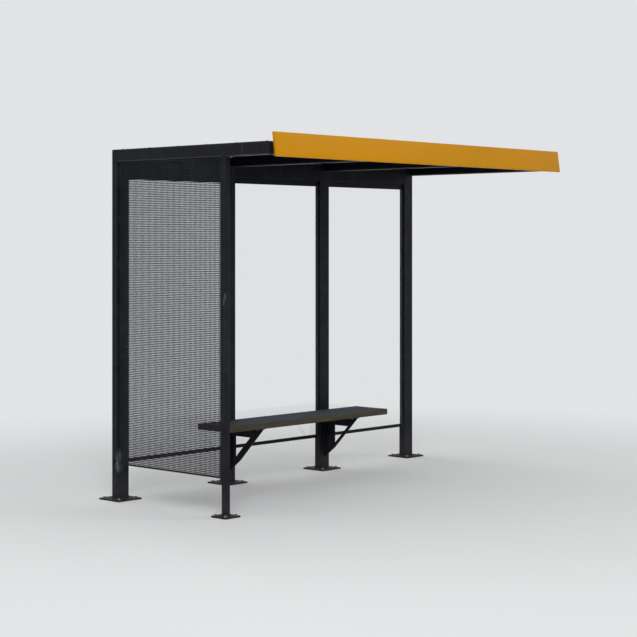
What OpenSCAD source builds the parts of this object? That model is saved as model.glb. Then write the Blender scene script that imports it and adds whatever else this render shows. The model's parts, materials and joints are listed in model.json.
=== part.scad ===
// Three-bay bus shelter: four rear posts carry glazed bays, a cantilevered roof with a folded
// front fascia, a bench on two brackets, and a perforated wall at the left end only.
// Seen from the front, X runs along the shelter to the right, Y runs to the rear, Z up.
// The origin is on the ground, under the middle of the shelter's bounding box.

/* [Layout] */
// Distance between the centre lines of neighbouring rear posts
bay_pitch = 1000; // [800:10:1400]
// Height of the top of the roof frame above the ground
roof_top = 2330; // [2200:10:2600]
// Distance from the centre line of the rear posts to the front end of the roof frame
roof_reach = 1420; // [1300:5:1700]

/* [Rear posts] */
// Width of a rear post along the shelter
post_w = 106; // [80:1:150]
// Depth of a rear post from front to back
post_d = 54; // [40:1:80]
// Wall thickness of a rear post
post_wall = 4; // [3:0.5:6]
// Outside corner radius of a rear post
post_r = 7; // [6:0.5:10]

/* [Front post] */
// Side of the square front post
front_post_w = 40; // [30:5:50]
// Wall thickness of the front post
front_post_wall = 3; // [2:0.5:4]
// Outside corner radius of the front post
front_post_r = 5; // [4:0.5:6]
// Distance from the centre line of the rear posts to the centre line of the front post
front_post_y = 1040; // [900:10:1180]

/* [Base plates] */
// Side of the square plate under a rear post
plate_w = 200; // [180:5:260]
// Thickness of the plate under a rear post
plate_t = 10; // [8:1:16]
// Spacing of the four bolts in a rear plate
plate_bolt_pitch = 150; // [140:5:170]
// Diameter of the bolt holes in every base plate
plate_hole_d = 14; // [10:1:18]
// Side of the square plate under the front post
front_plate_w = 130; // [120:5:160]
// Spacing of the four bolts in the front plate
front_bolt_pitch = 92; // [86:1:100]

/* [Roof frame] */
// Height of a roof tube
rafter_h = 80; // [60:5:100]
// Width of a roof tube
rafter_w = 50; // [40:5:60]
// Wall thickness of a roof tube
rafter_wall = 4; // [3:0.5:5]
// Outside corner radius of a roof tube
rafter_r = 9; // [8:0.5:12]
// Thickness of the plates that close the front ends of the outer roof tubes
end_cap_t = 3; // [2:0.5:6]
// Thickness of the roof sheet that lies on the frame
deck_t = 3; // [2:0.5:6]
// How far the roof sheet stays back from the edges of the frame
deck_inset = 4; // [0:1:12]

/* [Rear header] */
// Height of the box beam between two rear posts
header_h = 150; // [120:5:180]
// Depth of the box beam from front to back
header_d = 46; // [38:1:60]
// Wall thickness of the box beam
header_wall = 3; // [2:0.5:5]
// Outside corner radius of the box beam
header_r = 7; // [5:0.5:10]

/* [Glazing] */
// Thickness of the glass
glass_t = 10; // [6:1:12]
// Clearance between the glass and each wall of its channel
glass_gap = 1.5; // [1:0.25:3]
// Clearance between the glass edge and the bottom of a side or top channel
glass_edge_gap = 1; // [0.5:0.5:4]
// Wall thickness of the glazing channels
channel_wall = 3; // [2:0.5:4]
// Depth of the groove that holds a glass edge
groove_depth = 12; // [9:1:18]
// Height of the glazing channel under the header
top_rail_h = 40; // [30:5:60]
// Height of the lower rail
lower_rail_h = 22; // [18:1:40]
// Height of the underside of the lower rail above the ground
lower_rail_z = 243; // [120:1:300]

/* [Perforated side wall] */
// Width of the side wall's upright frame bars, seen from the side
side_bar_w = 26; // [20:1:40]
// Height of the side wall's level frame bars
side_rail_h = 10; // [9:1:30]
// Thickness of the side wall's frame bars
side_bar_t = 10; // [8:1:24]
// Thickness of the perforated sheet
sheet_t = 2; // [1.5:0.5:4]
// Depth to which the sheet enters the slot of each frame bar
sheet_bite = 6; // [3:1:7]
// Spacing of the square openings that stand for the sheet's many small round holes
sheet_pitch = 76; // [72:1:160]
// Side of each square opening in the sheet
sheet_opening = 54; // [30:1:60]
// Height of the underside of the side wall above the ground
side_wall_z = 238; // [100:1:300]

/* [Front fascia] */
// Height of the front fascia
fascia_h = 152; // [120:2:200]
// Depth of the fascia's folded returns
fascia_d = 22; // [16:1:35]
// Thickness of the fascia sheet
fascia_t = 3; // [2:0.5:4]
// How far the top of the fascia leans back
fascia_lean = 8; // [0:0.5:12]
// How far the fascia's lower edge hangs below the roof frame
fascia_drop = 11; // [4:1:30]
// Shadow gap between the roof and the nearest edge of the fascia's returns
fascia_gap = 5; // [2:1:20]
// Distance from the left end of the fascia to the left side of the roof
fascia_left_gap = 45; // [5:1:80]
// Distance from the right end of the fascia to the right side of the roof
fascia_right_gap = 23; // [5:1:80]
// Width of a bracket between the roof frame and the fascia
fascia_bracket_w = 40; // [20:5:60]
// Distance from each end of the fascia to the middle of its last bracket
fascia_bracket_in = 50; // [40:5:150]

/* [Bench] */
// Height of the top of the bench
bench_h = 455; // [400:5:500]
// Depth of the bench from front to back
bench_d = 316; // [260:2:360]
// Thickness of the bench board
bench_t = 43; // [30:1:50]
// How far the board runs past the centre line of each post that carries it
bench_overhang = 340; // [200:5:430]
// Gap between the board and the front face of the posts
bench_post_gap = 20; // [10:1:60]

/* [Bench brackets] */
// Thickness of a bracket's plate, along the shelter
bracket_t = 10; // [6:1:20]
// Height of the bracket from its foot to the underside of the board
bracket_h = 320; // [270:1:340]
// Depth of the bracket's arm, from the underside of the board
arm_h = 70; // [50:5:90]
// Width of the upright leg
leg_w = 104; // [80:2:140]
// Height of the leg's front edge above the bracket's foot
leg_nose_h = 82; // [50:2:100]
// Width of the diagonal brace
brace_w = 22; // [12:1:30]
// Distance from the post to the cut-out of the left bracket, which is the larger one
left_cut_y = 56; // [40:2:80]
// Width of the left bracket's diagonal brace
left_brace_w = 46; // [24:1:60]
// Height of the front end of the arm
arm_tip_h = 3; // [3:1:30]
// How far the arm stops short of the board's front edge
arm_setback = 9; // [2:1:40]
// Width of the flat bar on which the board is screwed
arm_flange_w = 50; // [40:5:80]
// Thickness of the flat bar on which the board is screwed
arm_flange_t = 5; // [4:0.5:8]

/* [Hidden] */
$fn = 48;
eps = 1;
bay_count = 3;

// Heights
roof_under = roof_top - rafter_h;
header_z = roof_top - header_h;
top_rail_z = header_z - top_rail_h;
lower_rail_top = lower_rail_z + lower_rail_h;
bench_under = bench_h - bench_t;

// The frame of the parts: post 1's centre line is at the left, and x_mid puts the
// middle of the shelter over the origin
roof_left = -post_w / 2;
roof_right = bay_count * bay_pitch + post_w / 2;
outer_rafter_x = [roof_left + rafter_w / 2, roof_right - rafter_w / 2];
x_mid = (roof_left + roof_right) / 2;
fascia_z = roof_under - fascia_drop;
roof_skin_top = roof_top + deck_t;
fascia_slope = tan(fascia_lean);
fascia_back = fascia_h * fascia_slope;
fascia_face_t = fascia_t / cos(fascia_lean);
fascia_face_y = -roof_reach - fascia_gap - fascia_d - (roof_skin_top - fascia_z) * fascia_slope;
plate_back = plate_w / 2;
y_mid = (plate_back + fascia_face_y) / 2;

// Faces of the rear posts
post_front = -post_d / 2;
post_rear = post_d / 2;
bay_clear = bay_pitch - post_w;

// Front post
front_post_x = roof_left + front_post_w / 2;
front_post_face = -front_post_y + front_post_w / 2;

// Glazing
channel_w = glass_t + 2 * glass_gap + 2 * channel_wall;
channel_d = groove_depth + channel_wall;
groove_w = glass_t + 2 * glass_gap;
glass_z0 = lower_rail_top - groove_depth;
glass_z1 = top_rail_z + groove_depth - glass_edge_gap;
glass_side = channel_wall + glass_edge_gap;

// Side wall
side_wall_top = roof_under;
side_open_rear = post_front - side_bar_w;
side_open_front = front_post_face + side_bar_w;
slot_gap = 0.3;
side_open_z0 = side_wall_z + side_rail_h;
side_open_z1 = side_wall_top - side_rail_h;
sheet_columns = floor((side_open_rear - side_open_front) / sheet_pitch);
sheet_rows = floor((side_open_z1 - side_open_z0) / sheet_pitch);

// Fascia
fascia_left = roof_left + fascia_left_gap;
fascia_right = roof_right - fascia_right_gap;

// Bench
bench_rear = post_front - bench_post_gap;
bench_front = bench_rear - bench_d;
bench_left = bay_pitch - bench_overhang;
bench_right = 2 * bay_pitch + bench_overhang;
arm_tip = bench_front + arm_setback;

// Puts a piece from the frame of the posts into the shelter's own frame
module place() {
    translate([-x_mid, -y_mid, 0]) children();
}

// A flat outline of w by d with round corners, centred
module round_outline(w, d, r) {
    square([w - 2 * r, d], center = true);
    square([w, d - 2 * r], center = true);
    for (sx = [-1, 1], sy = [-1, 1])
        translate([sx * (w / 2 - r), sy * (d / 2 - r)]) circle(r = r);
}

// A rectangular tube standing on its end
module tube(w, d, wall, r, length) {
    linear_extrude(height = length) difference() {
        round_outline(w, d, r);
        round_outline(w - 2 * wall, d - 2 * wall, r - wall);
    }
}

// A rectangular tube lying along X from x0 to x1, centred on y, standing on z0
module tube_x(x0, x1, y, z0, depth, height, wall, r) {
    translate([x0, y, z0 + height / 2]) rotate([90, 0, 90])
        tube(depth, height, wall, r, x1 - x0);
}

// A rectangular tube lying along Y from y0 to y1, centred on x, standing on z0
module tube_y(y0, y1, x, z0, width, height, wall, r) {
    translate([x, y1, z0 + height / 2]) rotate([90, 0, 0])
        tube(width, height, wall, r, y1 - y0);
}

// A plain box between two corners
module box(x0, x1, y0, y1, z0, z1) {
    translate([x0, y0, z0]) cube([x1 - x0, y1 - y0, z1 - z0]);
}

module rear_post(i) {
    color("#34363c") place() translate([i * bay_pitch, 0, plate_t])
        tube(post_w, post_d, post_wall, post_r, roof_top - plate_t);
}

module front_post() {
    color("#34363c") place() translate([front_post_x, -front_post_y, plate_t])
        tube(front_post_w, front_post_w, front_post_wall, front_post_r, roof_under - plate_t);
}

// A square foot plate with a bolt hole near each corner
module foot_plate(x, y, side, bolt_pitch) {
    color("#3a3c42") place() translate([x, y, 0]) difference() {
        translate([-side / 2, -side / 2, 0]) cube([side, side, plate_t]);
        for (sx = [-1, 1], sy = [-1, 1])
            translate([sx * bolt_pitch / 2, sy * bolt_pitch / 2, -eps])
                cylinder(d = plate_hole_d, h = plate_t + 2 * eps);
    }
}

module base_plate(i) {
    foot_plate(i * bay_pitch, 0, plate_w, plate_bolt_pitch);
}

module front_base_plate() {
    foot_plate(front_post_x, -front_post_y, front_plate_w, front_bolt_pitch);
}

// The box beam between posts i and i + 1, flush with the top of the roof frame
module header(i) {
    color("#2f3136") place()
        tube_x(i * bay_pitch + post_w / 2, (i + 1) * bay_pitch - post_w / 2, 0, header_z,
               header_d, header_h, header_wall, header_r);
}

// The channel under the header that holds the glass at its top edge
module top_glazing_rail(i) {
    x0 = i * bay_pitch + post_w / 2;
    x1 = x0 + bay_clear;
    color("#26282c") place() difference() {
        box(x0, x1, -channel_w / 2, channel_w / 2, top_rail_z, header_z);
        box(x0 - eps, x1 + eps, -groove_w / 2, groove_w / 2, top_rail_z - eps, top_rail_z + groove_depth);
    }
}

// The slim rail from post to post on which the glass stands
module lower_rail(i) {
    x0 = i * bay_pitch + post_w / 2;
    x1 = x0 + bay_clear;
    color("#26282c") place() difference() {
        box(x0, x1, -channel_w / 2, channel_w / 2, lower_rail_z, lower_rail_top);
        box(x0 - eps, x1 + eps, -groove_w / 2, groove_w / 2, glass_z0, lower_rail_top + eps);
    }
}

// One upright glazing channel, open towards +X, with its back at x = 0
module upright_channel() {
    difference() {
        box(0, channel_d, -channel_w / 2, channel_w / 2, lower_rail_top, top_rail_z);
        box(channel_wall, channel_d + eps, -groove_w / 2, groove_w / 2,
            lower_rail_top - eps, top_rail_z + eps);
    }
}

module side_channels(i) {
    color("#6d7177") place() {
        translate([i * bay_pitch + post_w / 2, 0, 0]) upright_channel();
        translate([(i + 1) * bay_pitch - post_w / 2, 0, 0]) mirror([1, 0, 0]) upright_channel();
    }
}

module glass(i) {
    color("#9fc4c0", 0.35) place()
        box(i * bay_pitch + post_w / 2 + glass_side, (i + 1) * bay_pitch - post_w / 2 - glass_side,
            -glass_t / 2, glass_t / 2, glass_z0, glass_z1);
}

// A roof tube from the front face of a post to the front beam, or to the front end
module rafter(x, y_front) {
    color("#303238") place()
        tube_y(y_front, post_front, x, roof_under, rafter_w, rafter_h, rafter_wall, rafter_r);
}

module rafter_left() {
    rafter(outer_rafter_x[0], -roof_reach + end_cap_t);
}

module rafter_right() {
    rafter(outer_rafter_x[1], -roof_reach + end_cap_t);
}

// The plates that close the front ends of the two outer roof tubes
module roof_end_caps() {
    color("#303238") place() for (x = outer_rafter_x)
        translate([x, -roof_reach + end_cap_t, roof_under + rafter_h / 2]) rotate([90, 0, 0])
            linear_extrude(height = end_cap_t) round_outline(rafter_w, rafter_h, rafter_r);
}

module front_beam() {
    color("#303238") place()
        tube_x(roof_left + rafter_w, roof_right - rafter_w, -roof_reach + rafter_w / 2, roof_under,
               rafter_w, rafter_h, rafter_wall, rafter_r);
}

module roof_deck() {
    color("#3b3e44") place()
        box(roof_left + deck_inset, roof_right - deck_inset, -roof_reach + deck_inset,
            post_rear - deck_inset, roof_top, roof_top + deck_t);
}

// The end view of the fascia, with its face at x = 0 at the bottom and its returns towards +x
module fascia_profile() {
    difference() {
        polygon([[0, 0], [fascia_d, 0], [fascia_d + fascia_back, fascia_h], [fascia_back, fascia_h]]);
        polygon([
            [fascia_face_t + fascia_t * fascia_slope, fascia_t],
            [fascia_d + 2 * fascia_back, fascia_t],
            [fascia_d + 2 * fascia_back, fascia_h - fascia_t],
            [fascia_face_t + (fascia_h - fascia_t) * fascia_slope, fascia_h - fascia_t]
        ]);
    }
}

// The closed outline of the fascia's ends
module fascia_end_profile() {
    polygon([[0, 0], [fascia_d, 0], [fascia_d + fascia_back, fascia_h], [fascia_back, fascia_h]]);
}

module fascia() {
    color("#d9a514") place() translate([fascia_left, fascia_face_y, fascia_z]) rotate([90, 0, 90]) {
        linear_extrude(height = fascia_right - fascia_left) fascia_profile();
        linear_extrude(height = fascia_t) fascia_end_profile();
        translate([0, 0, fascia_right - fascia_left - fascia_t])
            linear_extrude(height = fascia_t) fascia_end_profile();
    }
}

// Stand-off blocks between the front of the roof frame and the inside of the fascia
module fascia_bracket(x) {
    z0 = roof_under + rafter_r;
    z1 = roof_top - rafter_r;
    lean_at_0 = (z0 - fascia_z) * fascia_slope;
    lean_at_1 = (z1 - fascia_z) * fascia_slope;
    translate([x - fascia_bracket_w / 2, 0, 0]) rotate([90, 0, 90])
        linear_extrude(height = fascia_bracket_w) polygon([
            [fascia_face_y + fascia_face_t + lean_at_0, z0], [-roof_reach, z0],
            [-roof_reach, z1], [fascia_face_y + fascia_face_t + lean_at_1, z1]
        ]);
}

module fascia_brackets() {
    color("#303238") place() {
        fascia_bracket(fascia_left + fascia_bracket_in);
        for (i = [1, 2]) fascia_bracket(i * bay_pitch);
        fascia_bracket(fascia_right - fascia_bracket_in);
    }
}

// The slot in the side wall's frame bars that takes the edge of the perforated sheet
module sheet_slot() {
    box(front_post_x - sheet_t / 2 - slot_gap, front_post_x + sheet_t / 2 + slot_gap,
        side_open_front - sheet_bite, side_open_rear + sheet_bite,
        side_open_z0 - sheet_bite, side_open_z1 + sheet_bite);
}

// A bar of the side wall's frame, between y0 and y1 and between z0 and z1
module side_bar(y0, y1, z0, z1) {
    color("#34363c") place() difference() {
        box(front_post_x - side_bar_t / 2, front_post_x + side_bar_t / 2, y0, y1, z0, z1);
        sheet_slot();
    }
}

module side_frame_rear() {
    side_bar(side_open_rear, post_front, side_wall_z, side_wall_top);
}

module side_frame_front() {
    side_bar(front_post_face, side_open_front, side_wall_z, side_wall_top);
}

module side_frame_top() {
    side_bar(side_open_front, side_open_rear, side_open_z1, side_wall_top);
}

module side_frame_bottom() {
    side_bar(side_open_front, side_open_rear, side_wall_z, side_open_z0);
}

// The square openings of the sheet, in whole rows and columns centred on the wall's frame
module sheet_openings() {
    y_first = (side_open_front + side_open_rear - (sheet_columns - 1) * sheet_pitch) / 2;
    z_first = (side_open_z0 + side_open_z1 - (sheet_rows - 1) * sheet_pitch) / 2;
    translate([front_post_x, y_first, z_first])
        for (column = [0:sheet_columns - 1], row = [0:sheet_rows - 1])
            translate([0, column * sheet_pitch, row * sheet_pitch])
                cube([sheet_t + 2 * eps, sheet_opening, sheet_opening], center = true);
}

module perforated_sheet() {
    color("#4a4c52") place() difference() {
        box(front_post_x - sheet_t / 2, front_post_x + sheet_t / 2,
            side_open_front - sheet_bite, side_open_rear + sheet_bite,
            side_open_z0 - sheet_bite, side_open_z1 + sheet_bite);
        sheet_openings();
    }
}

module bench_board() {
    color("#8b7a55") place()
        box(bench_left, bench_right, bench_front, bench_rear, bench_under, bench_h);
}

// The bracket's plate seen from the end, with the post's front face on the left of the outline
// at y = post_front: an upright leg, an arm under the board and a diagonal brace round one
// cut-out that starts cut_y in front of the post
module bracket_outline(cut_y, brace) {
    foot = bench_under - bracket_h;
    top = bench_under - arm_flange_t;
    leg_front = post_front - leg_w;
    nose_z = foot + leg_nose_h;
    tip_z = top - arm_tip_h;
    // The diagonal's lower edge runs from the arm's tip to the leg's nose
    run = leg_front - arm_tip;
    rise = tip_z - nose_z;
    // Height of the diagonal's upper edge above its lower edge, measured plumb
    brace_plumb = brace * sqrt(run * run + rise * rise) / run;
    arm_under = bench_under - arm_h;
    cut_rear = post_front - cut_y;
    cut_low_z = nose_z + brace_plumb - (cut_rear - leg_front) * rise / run;
    cut_front = cut_rear - (arm_under - cut_low_z) * run / rise;
    difference() {
        polygon([[post_front, foot], [post_front, top], [arm_tip, top], [arm_tip, tip_z],
                 [leg_front, nose_z]]);
        polygon([[cut_rear, cut_low_z], [cut_rear, arm_under], [cut_front, arm_under]]);
    }
}

// A bench bracket: the plate on the post's front face, and the flat bar under the board
module bench_bracket(i, cut_y, brace) {
    top = bench_under - arm_flange_t;
    color("#2a2c30") place() translate([i * bay_pitch, 0, 0]) {
        translate([-bracket_t / 2, 0, 0]) rotate([90, 0, 90])
            linear_extrude(height = bracket_t) bracket_outline(cut_y, brace);
        box(-arm_flange_w / 2, arm_flange_w / 2, arm_tip, post_front, top, bench_under);
    }
}

rear_post(0);  // rear_post_1
rear_post(1);  // rear_post_2
rear_post(2);  // rear_post_3
rear_post(3);  // rear_post_4
front_post();
base_plate(0);  // base_plate_1
base_plate(1);  // base_plate_2
base_plate(2);  // base_plate_3
base_plate(3);  // base_plate_4
front_base_plate();
header(0);  // header_1
header(1);  // header_2
header(2);  // header_3
top_glazing_rail(0);  // top_glazing_rail_1
top_glazing_rail(1);  // top_glazing_rail_2
top_glazing_rail(2);  // top_glazing_rail_3
lower_rail(0);  // lower_rail_1
lower_rail(1);  // lower_rail_2
lower_rail(2);  // lower_rail_3
side_channels(0);  // side_channels_1
side_channels(1);  // side_channels_2
side_channels(2);  // side_channels_3
glass(0);  // glass_1
glass(1);  // glass_2
glass(2);  // glass_3
rafter_left();
rafter(bay_pitch, -roof_reach + rafter_w);  // rafter_2
rafter(2 * bay_pitch, -roof_reach + rafter_w);  // rafter_3
rafter_right();
roof_end_caps();
front_beam();
roof_deck();
fascia();
fascia_brackets();
side_frame_rear();
side_frame_front();
side_frame_top();
side_frame_bottom();
perforated_sheet();
bench_board();
bench_bracket(1, left_cut_y, left_brace_w);  // bench_bracket_2
bench_bracket(2, leg_w, brace_w);  // bench_bracket_3
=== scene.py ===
# %% [markdown]
# # A three-bay bus shelter
# The real shelter is a frame of dark painted steel tubes with three panes of clear glass at the
# back, a wall of perforated sheet at the left end, a mustard-yellow folded fascia along the front
# edge of the roof and a timber bench.
# The tubes, plates and panes come in as finished solids, so this lesson adds what they lack:
# finishes, fastenings, weld beads, rubber beads round the glass and the holes of the sheet.
# Loading the solids first means that every later piece can take its place from them.

import json
import math

import bmesh
import bpy
from mathutils import Matrix, Vector, noise


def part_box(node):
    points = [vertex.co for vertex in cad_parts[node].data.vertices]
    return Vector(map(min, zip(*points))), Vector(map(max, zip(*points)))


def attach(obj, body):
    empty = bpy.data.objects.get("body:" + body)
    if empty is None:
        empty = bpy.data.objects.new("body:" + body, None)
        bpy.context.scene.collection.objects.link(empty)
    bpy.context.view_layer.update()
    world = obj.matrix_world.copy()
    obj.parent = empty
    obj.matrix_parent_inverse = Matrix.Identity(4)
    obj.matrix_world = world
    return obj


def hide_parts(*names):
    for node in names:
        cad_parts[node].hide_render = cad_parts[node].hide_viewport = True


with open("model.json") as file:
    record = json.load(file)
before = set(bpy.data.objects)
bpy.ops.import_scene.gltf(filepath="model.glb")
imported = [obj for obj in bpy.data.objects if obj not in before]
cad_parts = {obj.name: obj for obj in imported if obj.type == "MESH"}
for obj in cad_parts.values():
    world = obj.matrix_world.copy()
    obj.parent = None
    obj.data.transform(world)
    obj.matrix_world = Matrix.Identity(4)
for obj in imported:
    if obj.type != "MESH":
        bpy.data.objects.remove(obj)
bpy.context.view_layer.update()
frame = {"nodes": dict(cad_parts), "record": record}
nodes = frame["nodes"]

# %% [markdown]
# ## The camera
# The picture was taken from the left front at eye level, with a long lens. A level camera keeps
# the posts upright, and a small vertical shift puts the horizon above the middle of the picture,
# as on a view camera, where tilting it would make the posts lean.

# %% Camera
IMAGE_SIDE = 637.0
FOCAL_PIXELS = 1638.6
HORIZON_ROW = 243.4
SENSOR = 36.0
EYE = Vector((-8.6867, -7.6864, 1.7086))
TURN = math.radians(-47.5536)


def add_object(name, data):
    """Puts a new object with this data into the scene."""
    added = bpy.data.objects.new(name, data)
    bpy.context.scene.collection.objects.link(added)
    return added


camera = add_object("camera", bpy.data.cameras.new("camera"))
camera.data.sensor_width = SENSOR
camera.data.lens = SENSOR * FOCAL_PIXELS / IMAGE_SIDE
camera.data.shift_y = (HORIZON_ROW - IMAGE_SIDE / 2) / IMAGE_SIDE
camera.location = EYE
camera.rotation_euler = (math.pi / 2, 0.0, TURN)
bpy.context.scene.camera = camera
bpy.context.scene.view_settings.view_transform = "Standard"
print("lens", round(camera.data.lens, 1), "mm, shift", round(camera.data.shift_y, 3))

# %% [markdown]
# ## Making nodes in a few words
# Materials and Geometry Nodes trees are both node trees. One helper that adds a node and fills in
# its inputs keeps the recipes short: an input takes a plain value or the socket that feeds it,
# and the node goes into the tree that this socket is in.

# %% Node helpers
def is_socket(value):
    return isinstance(value, bpy.types.NodeSocket)


def put(kind, inputs={}, tree=None, **settings):
    """Adds a node. A tree is named only where no socket feeds it."""
    tree = tree or next(value.id_data for value in inputs.values() if is_socket(value))
    node = tree.nodes.new(kind)
    for name, value in settings.items():
        setattr(node, name, value)
    for name, value in inputs.items():
        if is_socket(value):
            tree.links.new(value, node.inputs[name])
        else:
            node.inputs[name].default_value = value
    return node


def result(kind, inputs={}, **settings):
    """Adds a node and gives its first output, which is all that most recipes need."""
    return put(kind, inputs, **settings).outputs[0]


def feed(node, **sockets):
    """Joins sockets to the node's inputs. In an input's name, _ stands for a space."""
    for label, socket in sockets.items():
        node.id_data.links.new(socket, node.inputs[label.replace("_", " ")])


def calc(operation, a, b=0.0, c=0.0):
    return result("ShaderNodeMath", {0: a, 1: b, 2: c}, operation=operation)


def product(a, b):
    return calc("MULTIPLY", a, b)


def vector_calc(operation, a, b=(0.0, 0.0, 0.0), c=(0.0, 0.0, 0.0)):
    node = put("ShaderNodeVectorMath", {0: a, 1: b, 2: c}, operation=operation)
    return node.outputs["Value" if operation == "LENGTH" else "Vector"]


print("node helpers ready")

# %% [markdown]
# ## Patterns from noise
# Nearly every finish starts as noise at a position. Stretching the position first turns spots
# into streaks or grain, and a soft step cuts the noise into patches. Noise seldom goes below 0.2
# or above 0.8, so a roughness that follows it is spread over that range.

# %% Pattern helpers
NOISE_LOW, NOISE_HIGH = 0.2, 0.8
MIX_A, MIX_B, MIX_OUT = 6, 7, 2  # the colour sockets of a Mix node


def scaled(position, x, y, z):
    return vector_calc("MULTIPLY", position, (x, y, z))


def height_of(position):
    return put("ShaderNodeSeparateXYZ", {0: position}).outputs["Z"]


def noise_at(position, scale, detail=2.0, roughness=0.5):
    inputs = {"Vector": position, "Scale": scale, "Detail": detail, "Roughness": roughness}
    return result("ShaderNodeTexNoise", inputs)


def ramp(value, low, high, at_low=0.0, at_high=1.0):
    """Goes from at_low to at_high as the value goes from low to high."""
    inputs = {"Value": value, "From Min": low, "From Max": high, "To Min": at_low, "To Max": at_high}
    return result("ShaderNodeMapRange", inputs, interpolation_type="SMOOTHSTEP")


def spread_noise(pattern, at_low, at_high):
    return ramp(pattern, NOISE_LOW, NOISE_HIGH, at_low, at_high)


def mix(share, a, b):
    """Colour a where the share is 0, colour b where it is 1."""
    a, b = (c if is_socket(c) else (*c, 1.0) for c in (a, b))
    return put("ShaderNodeMix", {0: share, MIX_A: a, MIX_B: b}, data_type="RGBA").outputs[MIX_OUT]


def bumped(relief, strength, distance):
    """The normal of a surface with this relief, whose height is the distance in metres."""
    return result("ShaderNodeBump", {"Strength": strength, "Distance": distance, "Height": relief})


print("noise is spread from", NOISE_LOW, "to", NOISE_HIGH)

# %% [markdown]
# ## Shared effects: dirt and rain
# Road dirt, rain streaks, chips and the fine ripple of powder coat are on nearly every painted
# piece. Each one is a shader node group, so a material only sets how much of it it has.
# The groups work on the position in metres, so that dirt stays near the ground on every piece.

# %% Road dirt and rain streaks
def shader_group(name, inputs, *outputs):
    """An empty shader group. An input is None for a vector, or a number and its usual value.
    Returns the tree, its inputs by name and its output node."""
    tree = bpy.data.node_groups.new(name, "ShaderNodeTree")
    for label, value in inputs.items():
        kind = "NodeSocketVector" if value is None else "NodeSocketFloat"
        socket = tree.interface.new_socket(label, in_out="INPUT", socket_type=kind)
        if value is not None:
            socket.default_value = value
    for label in outputs:
        tree.interface.new_socket(label, in_out="OUTPUT", socket_type="NodeSocketFloat")
    return tree, tree.nodes.new("NodeGroupInput").outputs, tree.nodes.new("NodeGroupOutput")


# Splash dirt that thins out upwards to a ragged edge, and dust that lies in soft patches
DIRT_WANDER = 0.22
road_dirt, at, end = shader_group(
    "road_dirt", {"Position": None, "Height": 0.3, "Splash": 0.5, "Dust": 0.2}, "Dirt")
patches = noise_at(at["Position"], 9.0, 5.0, 0.62)
speckle = noise_at(at["Position"], 95.0, 3.0, 0.6)
ragged = calc("MULTIPLY_ADD", patches, -DIRT_WANDER, DIRT_WANDER / 2)
level = calc("ADD", height_of(at["Position"]), ragged)
near_ground = ramp(level, 0.0, at["Height"], 1.0, 0.0)
splash = product(product(near_ground, at["Splash"]), ramp(speckle, 0.3, 0.62))
dust = product(ramp(patches, 0.38, 0.72), at["Dust"])
feed(end, Dirt=calc("MAXIMUM", splash, dust))

# Pale runs that rain leaves on an upright face
LONG_RUN = 0.035
rain_streaks, at, end = shader_group("rain_streaks", {"Position": None, "Fineness": 42.0}, "Streak")
run = noise_at(scaled(at["Position"], 1.0, 1.0, LONG_RUN), at["Fineness"], 3.0, 0.6)
fade = noise_at(at["Position"], 2.2)
feed(end, Streak=product(ramp(run, 0.5, 0.78), ramp(fade, 0.35, 0.65)))
print("groups:", road_dirt.name, rain_streaks.name)

# %% [markdown]
# ## Shared effects: damage and coat
# Chips are noise cut at a high level, with a paler rim where the primer shows. A worn place is an
# egg-shaped area whose edge is torn by fine noise. The coat itself has the fine ripple of powder
# paint over the slow waves of rolled steel.

# %% Chips, worn places and coat relief
chips, at, end = shader_group("chips", {"Position": None, "Size": 60.0, "Spread": 0.0}, "Chip", "Rim")
grit = noise_at(at["Position"], at["Size"], 4.0, 0.72)
where = noise_at(at["Position"], 3.1)
level = calc("ADD", grit, product(calc("SUBTRACT", where, 0.5), 0.35))
level = calc("ADD", level, at["Spread"])
feed(end, Chip=ramp(level, 0.745, 0.76), Rim=ramp(level, 0.715, 0.75))

worn_patch, at, end = shader_group(
    "worn_patch", {"Position": None, "Centre": None, "Size": None, "Ragged": 0.6}, "Worn")
away = vector_calc("SUBTRACT", at["Position"], at["Centre"])
reach = vector_calc("LENGTH", vector_calc("DIVIDE", away, at["Size"]))
tear = noise_at(scaled(at["Position"], 1.0, 1.0, 0.35), 130.0, 4.0, 0.65)
tear = product(calc("SUBTRACT", tear, 0.5), at["Ragged"])
feed(end, Worn=ramp(calc("ADD", reach, tear), 0.55, 1.0, 1.0, 0.0))

coat_relief, at, end = shader_group("coat_relief", {"Position": None}, "Relief")
ripple = noise_at(at["Position"], 420.0)
waves = noise_at(at["Position"], 6.0, 1.0)
feed(end, Relief=calc("ADD", product(ripple, 0.25), waves))
print("groups:", chips.name, worn_patch.name, coat_relief.name)

# %% [markdown]
# ## Painted steel
# All the steel is the same satin anthracite powder coat, but it doesn't look the same
# everywhere: feet are scuffed and splashed, the roof has lain in the weather, and the underside
# stays clean and is painted darker, as painted shade under the roof.

# %% Start a material
finishes = {}


def new_material(name, **shader_values):
    """Adds a material with one Principled shader to the finishes. Returns the shader and the position."""
    finishes[name] = bpy.data.materials.new(name)
    finishes[name].use_nodes = True
    tree = finishes[name].node_tree
    shader = tree.nodes["Principled BSDF"]
    for label, value in shader_values.items():
        shader.inputs[label.replace("_", " ")].default_value = value
    return shader, put("ShaderNodeTexCoord", tree=tree).outputs["Object"]


def effect(group, position, **inputs):
    return put("ShaderNodeGroup", {"Position": position, **inputs}, node_tree=group).outputs


def times(colour, factor):
    return tuple(c * factor for c in colour)


print("material helpers ready")

# %% The recipe for painted steel
DUST = (0.066, 0.064, 0.063)
STREAK = (0.046, 0.050, 0.058)
RUST = (0.075, 0.030, 0.014)
PRIMER = (0.090, 0.099, 0.114)
# The colour below is a painted highlight along the lower edge of the roof tubes
RIM_HIGHLIGHT = (0.048, 0.047, 0.047)
DARK_TONE, PALE_TONE = 0.82, 1.2
DULL_BY_DIRT, DULL_BY_TONE = 0.35, 0.16
HIGHLIGHT_FADE_IN, HIGHLIGHT_FADE_OUT = 0.001, 0.0015


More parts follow.
